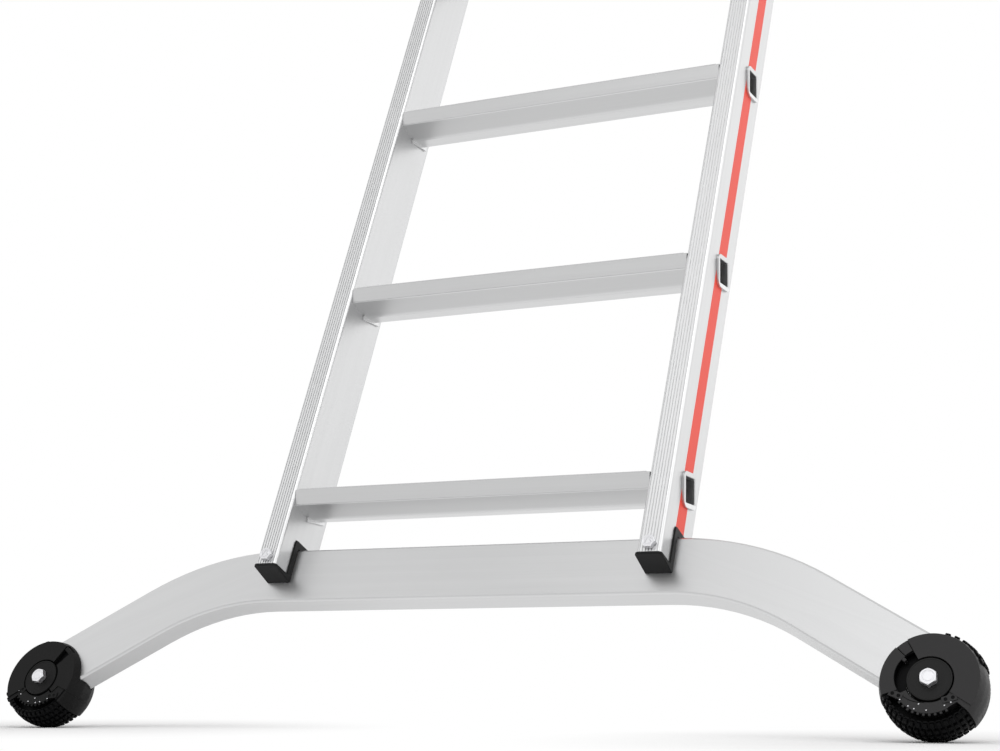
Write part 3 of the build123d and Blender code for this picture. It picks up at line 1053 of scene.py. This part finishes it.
class LADDER_OT_feet(bpy.types.Operator):
    """Dress the ball feet, their hub discs and the trim of their faces"""

    bl_idname = "ladder.feet"
    bl_label = "Ball Feet and Hubs"

    band_sag = 0.0012
    fine_round = 96
    fine_edge = 0.0004
    sharp_corner = 40
    tool_levels = (0.01, 0.03)
    half_tool = 0.05
    # The hub's turned face: its rim, the step behind it and the dish inside, and the rim behind the hub.
    hub_rim = 0.0012
    hub_step, hub_depth = 0.0004, 0.0003
    hub_dish = 0.0095
    rim_gap, rim_drop, rim_edge = 0.0002, 0.0004, 0.0003
    # The pocket, its dark lining, which paints the shade in it, and its plug.
    pocket_place = (-0.007, 0.003)
    lining_gap, lining_wall = 0.0001, 0.0004
    lining_turn = 30
    plug_gap, plug_bore_gap, plug_drop, plug_edge = 0.0002, 0.0004, 0.0005, 0.0006
    plug_turns = (-47, -38)
    # The slit of the left foot: the radii and the angles of the dark sheet on its floor, which paints the
    # shade in the slit, and of the block that ends it.
    slit_floor_reach, slit_floor_ends, slit_floor_height = (0.0226, 0.0405), (43.7, 59.8), 0.0005
    slit_end_reach, slit_end_ends, slit_end_edge = (0.0405, 0.0452), (43.8, 59.7), 0.0008
    # The tab and the catch of the right foot.
    tab_reach, tab_ends, tab_top = (0.0335, 0.0453), (121.2, 135.3), 0.0189
    catch_reach, catch_ends, catch_top = (0.0292, 0.0336), (138.5, 144.5), 0.0198
    # The strip under the hub, its teeth, the blocks with holes at its ends and its pins.
    strip_reach, strip_ends, strip_levels = (0.0232, 0.0330), (-153, -56), (0.0166, 0.0192)
    tooth_count = 11
    tooth_length, tooth_width, tooth_drop, tooth_sink = 0.0046, 0.0025, 0.0003, 0.0002
    hole_radius = 0.0018
    hole_gap, hole_drop, hole_floor_height = 0.00005, 0.0005, 0.0004
    block_spare, block_width, block_drop, block_edge = 0.0078, 0.0066, 0.0002, 0.0008
    hole_blocks = (((-0.0326, -0.0139), (-0.0269, -0.0162)), ((0.0157, -0.0195), (0.0221, -0.0176)))
    pin_radius = 0.0008
    pins = (
        (-0.0255, -0.0200), (-0.0176, -0.0262), (-0.0121, -0.0288), (-0.0082, -0.0242),
        (-0.0010, -0.0301), (0.0150, -0.0252), (0.0205, -0.0222),
    )
    left_turn = -15

    def shell(self, sizes, side):
        """The ball, with the faces of its outside divided and brought out to its round."""
        shell = welded_copy(f"foot_shell_{side}", f"ball_foot_{side}")
        vertices = shell.data.vertices
        inner = sizes.ball_radius - self.band_sag

        def outside(index):
            return (vertices[index].co - FOOT[side]).length > inner

        edit(shell)
        pick(shell, "polygons", lambda face: all(outside(index) for index in face.vertices))
        bpy.ops.mesh.subdivide(number_cuts=3)
        done()
        for vertex in shell.data.vertices:
            reach = vertex.co - FOOT[side]
            if reach.length > inner:
                vertex.co = FOOT[side] + reach.normalized() * sizes.ball_radius
        rounded(shell, sizes.foot_edge, limit=self.sharp_corner)
        return shell

    def hub(self, sizes, name):
        """A disc with a rounded rim, a shallow turned step and a raised seat for the bolt."""
        low, high = node_box("foot_hubs", "right")
        disc = drum("disc", sizes.hub_radius, low.z, high.z, sides=self.fine_round)
        edit(disc)
        pick(disc, "polygons", lambda face: face.normal.z > FACING)
        inset(self.hub_rim)
        inset(self.hub_step, -self.hub_depth)
        inset(self.hub_dish)
        inset(self.hub_step, self.hub_depth)
        done()
        rounded(disc, self.fine_edge, limit=self.sharp_corner)
        rim_radius, rim_top = sizes.bore_radius - self.rim_gap, sizes.pocket_floor - self.rim_drop
        rim = drum("rim", rim_radius, low.z, rim_top, sides=self.fine_round)
        rounded(rim, self.rim_edge, segments=1, limit=self.sharp_corner)
        hub = joined([disc, rim], name)
        set_grain(hub, lambda point: (point.xy.length, point.z, 0))
        return hub

    def bore(self, piece, radius, place=(0, 0), sides=fine_round):
        """Cut a round hole through a piece."""
        cut(piece, drum("bore", radius, *self.tool_levels, place, sides))

    def half_cut(self, piece, across, along, degrees):
        """Cut away one side of a piece, at a plane through the bolt that is then turned."""
        size = 2 * self.half_tool
        tool = block("half", (size, size, size), (across * self.half_tool, along * self.half_tool, 0))
        cut(piece, turned(tool, degrees))

    def lining(self, sizes):
        """Dark lining on the floor and the wall of the crescent pocket, which paints the shade in the
        pocket.
        """
        floor, top = sizes.pocket_floor, sizes.face_level - self.lining_wall
        radius = sizes.pocket_radius - self.lining_gap
        lining = drum("foot_lining_right", radius, floor, top, self.pocket_place, self.fine_round)
        inside = radius - self.lining_wall, floor + self.lining_wall, self.tool_levels[1]
        cut(lining, drum("inside", *inside, self.pocket_place, self.fine_round))
        self.bore(lining, sizes.bore_radius)
        self.half_cut(lining, 1, 0, self.lining_turn)
        return lining

    def plug(self, sizes):
        """Plain fill of the pocket and of the end of the slit, on the left foot."""
        top = sizes.face_level - self.plug_drop
        x, y = self.pocket_place
        radius = sizes.pocket_radius - self.plug_gap
        plug = drum("plug", radius, sizes.pocket_floor, top, (-x, y), self.fine_round)
        self.bore(plug, sizes.bore_radius + self.plug_bore_gap)
        self.half_cut(plug, -1, 0, self.plug_turns[0])
        self.half_cut(plug, 0, -1, self.plug_turns[1])
        rounded(plug, self.plug_edge, limit=self.sharp_corner)
        end = arc_block("end", self.slit_end_reach, (sizes.slit_floor, top), self.slit_end_ends, steps=6)
        rounded(end, self.slit_end_edge, limit=self.sharp_corner)
        return [plug, end]

    def slit_floor(self, sizes):
        """Dark sheet on the floor of the open slit in the left foot, which paints the shade in the slit."""
        levels = (sizes.slit_floor, sizes.slit_floor + self.slit_floor_height)
        return arc_block("slit_floor", self.slit_floor_reach, levels, self.slit_floor_ends, steps=6)

    def tab(self, sizes):
        """The tab in the slit and the catch below it."""
        shapes = [
            arc_block("tab", self.tab_reach, (sizes.slit_floor, self.tab_top), self.tab_ends, steps=6),
            arc_block(
                "catch", self.catch_reach, (sizes.pocket_floor, self.catch_top), self.catch_ends, steps=3),
        ]
        for shape in shapes:
            rounded(shape, self.fine_edge, limit=self.sharp_corner)
        return shapes

    def hole_floors(self, sizes):
        """Dark discs a little way down the holes in the end blocks, which paint the shade in the holes."""
        radius, top = self.hole_radius - self.hole_gap, sizes.face_level - self.hole_drop
        places = [place for holes in self.hole_blocks for place in holes]
        low = top - self.hole_floor_height
        floors = [drum("hole_floor", radius, low, top, place, sides=24) for place in places]
        return joined(floors, "holes")

    def hole_block(self, sizes, first, second):
        """A block with two holes at the end of the strip."""
        middle = (Vector(first) + Vector(second)) / 2
        run = Vector(second) - Vector(first)
        top = sizes.face_level - self.block_drop
        size = (run.length + self.block_spare, self.block_width, top - self.strip_levels[0])
        bored = block("hole_block", size, (0, 0, 0))
        rounded(bored, self.block_edge)
        place = Matrix.Translation((middle.x, middle.y, top - size[2] / 2))
        settle(bored, place @ Matrix.Rotation(atan2(run.y, run.x), 4, "Z"))
        for hole in (first, second):
            self.bore(bored, self.hole_radius, hole, sides=24)
        return bored

    def strip(self, sizes):
        """Strip under the hub with its teeth and end blocks."""
        low, high = self.strip_levels
        start, end = self.strip_ends
        band = arc_block("strip", self.strip_reach, self.strip_levels, self.strip_ends, steps=32)
        rounded(band, self.fine_edge, limit=self.sharp_corner)
        height = high - low - self.tooth_drop
        place = (self.strip_reach[1], 0, (low + high) / 2 - self.tooth_sink)
        tooth = block("tooth", (self.tooth_length, self.tooth_width, height), place)
        rounded(tooth, self.fine_edge, segments=1)
        pitch = (end - start) / self.tooth_count
        turns = [radians(start + (number + 0.5) * pitch) for number in range(self.tooth_count)]
        teeth = copies(tooth, [Matrix.Rotation(turn, 4, "Z") for turn in turns])
        blocks = [self.hole_block(sizes, *holes) for holes in self.hole_blocks]
        return joined([band, *teeth, *blocks], "strip")

    def pin_heads(self):
        """Small round pin heads along the strip; their bright zinc paints the glints seen on them, a
        painted highlight.
        """
        level = self.strip_levels[1]
        shapes = []
        for place in self.pins:
            deselect()
            bpy.ops.mesh.primitive_uv_sphere_add(
                segments=12, ring_count=8, radius=self.pin_radius, location=(*place, level))
            shapes.append(applied(fresh("pin")))
        return joined(shapes, "pins")

    def execute(self, context):
        sizes = context.scene.ladder_sizes
        strip, holes, pins = self.strip(sizes), self.hole_floors(sizes), self.pin_heads()
        left_strip, left_holes, left_pins = (
            turned(mirror_twin(piece, f"left_{piece.name}"), self.left_turn)
            for piece in (strip, holes, pins))
        details = {
            "right": ([strip, *self.tab(sizes)], [holes, self.lining(sizes)], [pins]),
            "left": ([left_strip, *self.plug(sizes)], [left_holes, self.slit_floor(sizes)], [left_pins]),
        }
        # The left foot's shell, hub and trim take a darker, less glossy copy of the foot's plastic: painted
        # shade.
        plastics = {"right": foot_plastic, "left": dull_foot_plastic}
        hub_plastics = {"right": turned_plastic, "left": dull_foot_plastic}
        for side in SIDES:
            shell = self.shell(sizes, side)
            smooth(shell)
            hand_over(shell, f"foot_{side}", "black_plastic", plastics[side], f"foot_shell_{side}")
            hub = self.hub(sizes, f"hub_disc_{side}")
            fit_foot(hub, side, "frame", "black_plastic", hub_plastics[side], "foot_hubs")
            # The lining group is the pocket's lining, the holes' discs and the slit's floor: dark rubber
            # pieces that paint the shade in these recesses.
            finishes = (
                ("trim", "black_plastic", plastics[side]),
                ("lining", "rubber", tread_rubber),
                # The pins are bright zinc, which paints the glints on them: a painted highlight.
                ("pins", "zinc_steel", zinc_steel),
            )
            for shapes, (kind, slot, recipe) in zip(details[side], finishes):
                piece = joined(shapes, f"foot_{kind}_{side}")
                fit_foot(piece, side, f"foot_{side}", slot, recipe)
        return {"FINISHED"}


class LADDER_OT_treads(bpy.types.Operator):
    """Model the knobbed rubber treads of the ball feet"""

    bl_idname = "ladder.treads"
    bl_label = "Foot Treads"

    # A pad is divided into bands over its depth and steps about the bolt.
    band_depth, fewest_bands = 0.0035, 3
    step_degrees, fewest_steps = 3, 8
    knob_root = 0.003
    knob_width, knob_depth = 0.7, 0.68
    knob_taper = (1, 0.84, 0.86)
    knob_edge = 0.0005
    # Fields of knobs, by their angles about the bolt in degrees.
    lower_ends = (-160, -40)
    outer_ends = (20, 58.5)
    lip_ends = (58.5, 80)
    slot_front, lip_front = 0.0108, 0.016
    # The left foot's lower tread: its pad, its knobs, its raised knobs and its cheek.
    left_pad_ends = (-140, -20)
    left_ends = (-140, -40)
    raised_ends = (-159, -141)
    raised = 0.0021
    cheek_ends = (-40, -20.2)
    cheek_drop = 0.0012
    cheek_bands = 12

    def outside(self, sizes, radius, low, high, bands):
        """Section of a pad up to its front: its seat, then its round from back to front."""
        levels = [low + (high - low) * step / bands for step in range(bands + 1)]
        return [(sizes.tread_seat, low)] + [(sqrt(radius**2 - level**2), level) for level in levels]

    def pad(self, sizes, ends, levels, radius, channel):
        """The body of a tread: a section spun about the foot's bolt."""
        low, high = levels
        bands = max(self.fewest_bands, round((high - low) / self.band_depth))
        section = self.outside(sizes, radius, low, high, bands)
        if channel:
            floor = high - sizes.channel_depth
            section += [(sizes.channel, high), (sizes.channel, floor), (sizes.tread_seat, floor)]
        else:
            section.append((sizes.tread_seat, high))
        steps = max(self.fewest_steps, round((ends[1] - ends[0]) / self.step_degrees))
        return spun("pad", section, *ends, steps)

    def knob(self, height, width, depth):
        """One knob: a block that narrows to its top, with rounded edges."""
        knob = block("knob", (height, width, depth), (0, 0, 0))
        edit(knob)
        pick(knob, "polygons", lambda face: face.normal.x > FACING)
        bpy.ops.transform.resize(value=self.knob_taper)
        done()
        rounded(knob, self.knob_edge, segments=1)
        return knob

    def rows(self, sizes, ends, levels, floor_radius, tread_radius, pitch):
        """Rows of knobs from the front of a pad to its back."""
        (start, end), (low, high) = ends, levels
        height = tread_radius - floor_radius + self.knob_root
        count = max(1, round((high - low) / sizes.row_pitch))
        row_pitch = (high - low) / count
        depth = row_pitch * self.knob_depth
        places = []
        for row in range(count):
            level = high - row * row_pitch - depth / 2
            rim = sqrt(tread_radius**2 - level**2)
            tilt = Matrix.Rotation(-atan2(level, rim), 4, "Y")
            out = Matrix.Translation((tread_radius - height / 2, 0, 0))
            columns = round(radians(end - start) * rim / pitch)
            for number in range(columns):
                turn = radians(start + (number + 0.5) * (end - start) / columns)
                places.append(Matrix.Rotation(turn, 4, "Z") @ tilt @ out)
        return copies(self.knob(height, pitch * self.knob_width, depth), places)

    def left_lower_tread(self, sizes, levels):
        """The left foot's lower tread: its knobs start higher outside and end before the inside."""
        floor, tread, pitch = sizes.lower_floor, sizes.lower_tread, sizes.lower_knobs
        shapes = [self.pad(sizes, self.left_pad_ends, levels, floor, True)]
        shapes += self.rows(sizes, self.left_ends, levels, floor, tread, pitch)
        floor, tread = floor + self.raised, tread + self.raised
        shapes += self.rows(sizes, self.raised_ends, levels, floor, tread, pitch)
        return joined(shapes, "lower_tread_left")

    def cheek(self, sizes, levels):
        """Smooth cheek on the inner side of the left foot's lower tread."""
        low, high = levels[0], levels[1] - self.cheek_drop
        section = self.outside(sizes, sizes.ball_radius, low, high, self.cheek_bands)
        return spun("tread_cheek_left", section + [(sizes.tread_seat, high)], *self.cheek_ends, steps=10)

    def tread(self, sizes, kind, fields, floor_radius, tread_radius, pitch):
        """A right tread of one or more fields, each with its pad and its knobs."""
        shapes = []
        for ends, levels in fields:
            shapes.append(self.pad(sizes, ends, levels, floor_radius, kind == "lower"))
            shapes += self.rows(sizes, ends, levels, floor_radius, tread_radius, pitch)
        return joined(shapes, f"{kind}_tread_right")

    def execute(self, context):
        sizes = context.scene.ladder_sizes
        back, face = -sizes.back_level, sizes.face_level
        full, lip, slot = (back, face), (back, self.lip_front), (self.slot_front, self.lip_front)
        lower = self.tread(
            sizes, "lower", [(self.lower_ends, full)],
            sizes.lower_floor, sizes.lower_tread, sizes.lower_knobs)
        lower_left = self.left_lower_tread(sizes, full)
        cheek = self.cheek(sizes, full)
        outer = self.tread(
            sizes, "outer", [(self.outer_ends, lip), (self.lip_ends, slot)],
            sizes.outer_floor, sizes.outer_tread, sizes.outer_knobs)
        outer_left = mirror_twin(outer, "outer_tread_left")
        fit_foot(lower, "right", "foot_right", "rubber", tread_rubber, "foot_lower_tread_right")
        fit_foot(lower_left, "left", "foot_left", "rubber", tread_rubber, "foot_lower_tread_left")
        # The cheek takes the darker copy of the foot's plastic: painted shade.
        fit_foot(cheek, "left", "foot_left", "black_plastic", dull_foot_plastic)
        fit_foot(outer, "right", "foot_right", "rubber", tread_rubber, "foot_outer_tread_right")
        fit_foot(outer_left, "left", "foot_left", "rubber", tread_rubber, "foot_outer_tread_left")
        return {"FINISHED"}


class LADDER_OT_stage(bpy.types.Operator):
    """Set up the floor, the studio light and the camera"""

    bl_idname = "ladder.stage"
    bl_label = "Stage"

    floor_radius = 9
    floor_rim = 5
    # Each lamp's name, place, target, width and height, and power.
    lamps = (
        ("front_softbox", (0.3, -3.2, 3.4), (0, -0.4, 0.5), (2.4, 2.4), 13),
        ("side_softbox", (3.4, -0.6, 2.0), (0, -0.3, 0.6), (2.0, 2.4), 12),
        ("top_softbox", (1.25, -1.55, 3.1), (0, -0.4, 0.6), (1.6, 1.1), 9),
        ("left_softbox", (-2.9, -1.93, 1.95), (-0.3, -0.5, 0.4), (1.4, 1.8), 2),
        ("rear_softbox", (1.8, 3.0, 1.5), (-0.2, -0.3, 0.6), (2.4, 2.6), 9),
    )
    sky_strength = 0.75
    # The camera's place from the middle between the feet, and its direction.
    camera_place = (0.90573, -1.6802, 0.0150)
    camera_sight = (-0.43996, 0.88363, 0.16013)
    sensor_width = 36
    nearest = 0.05

    def floor(self):
        deselect()
        bpy.ops.mesh.primitive_circle_add(vertices=96, radius=self.floor_radius, fill_type="NGON")
        floor = fresh("studio_floor")
        edit_all(floor)
        inset(self.floor_rim)
        done()
        floor.data.materials.append(finished("floor_paint", floor_paint))

    def lamp(self, name, place, target, size, power):
        lamp = bpy.data.lights.new(name, "AREA")
        lamp.shape = "RECTANGLE"
        lamp.size, lamp.size_y = size
        lamp.energy = power
        fitting = bpy.data.objects.new(name, lamp)
        bpy.context.scene.collection.objects.link(fitting)
        fitting.visible_camera = False
        fitting.location = place
        fitting.rotation_euler = (Vector(target) - Vector(place)).to_track_quat("-Z", "Y").to_euler()

    def sky(self):
        world = bpy.data.worlds.new("studio")
        bpy.context.scene.world = world
        finish = Finish(world)
        strength = self.sky_strength + finish.seen() * (1 - self.sky_strength)
        backdrop = finish.make(
            "ShaderNodeBackground", {}, {"Color": (1.0, 1.0, 1.0, 1.0), "Strength": strength})
        finish.make("ShaderNodeOutputWorld", {}, {"Surface": backdrop})

    def camera(self, sizes):
        lens = bpy.data.cameras.new("camera")
        lens.sensor_width = self.sensor_width
        lens.lens = sizes.lens
        lens.clip_start = self.nearest
        camera = bpy.data.objects.new("camera", lens)
        bpy.context.scene.collection.objects.link(camera)
        camera.location = FEET_MIDDLE + Vector(self.camera_place)
        camera.rotation_euler = Vector(self.camera_sight).to_track_quat("-Z", "Y").to_euler()
        bpy.context.scene.camera = camera

    def execute(self, context):
        context.scene.view_settings.view_transform = "Standard"
        self.floor()
        self.sky()
        for lamp in self.lamps:
            self.lamp(*lamp)
        self.camera(context.scene.ladder_sizes)
        return {"FINISHED"}


PIECES = (
    LADDER_OT_stiles, LADDER_OT_rungs, LADDER_OT_bar, LADDER_OT_fittings, LADDER_OT_fasteners,
    LADDER_OT_feet, LADDER_OT_treads, LADDER_OT_stage,
)


class LADDER_PT_panel(bpy.types.Panel):
    """Pieces of the ladder and their sizes and colours"""

    bl_label = "Leaning Ladder"
    bl_idname = "LADDER_PT_panel"
    bl_space_type = "VIEW_3D"
    bl_region_type = "UI"
    bl_category = "Ladder"

    def draw(self, context):
        layout = self.layout
        for piece in PIECES:
            layout.operator(piece.bl_idname)
        for group in (context.scene.ladder_sizes, context.scene.ladder_colours):
            box = layout.box()
            for name in group.bl_rna.properties.keys():
                if name not in ("rna_type", "name"):
                    box.prop(group, name)


CLASSES = (LadderSizes, LadderColours, *PIECES, LADDER_PT_panel)


def register():
    for entry in CLASSES:
        bpy.utils.register_class(entry)
    bpy.types.Scene.ladder_sizes = bpy.props.PointerProperty(type=LadderSizes)
    bpy.types.Scene.ladder_colours = bpy.props.PointerProperty(type=LadderColours)


def unregister():
    del bpy.types.Scene.ladder_colours
    del bpy.types.Scene.ladder_sizes
    for entry in reversed(CLASSES):
        bpy.utils.unregister_class(entry)


def main():
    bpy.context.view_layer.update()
    register()
    for name in ("stiles", "rungs", "bar", "fittings", "fasteners", "feet", "treads", "stage"):
        getattr(bpy.ops.ladder, name)()


if __name__ == "__main__":
    main()
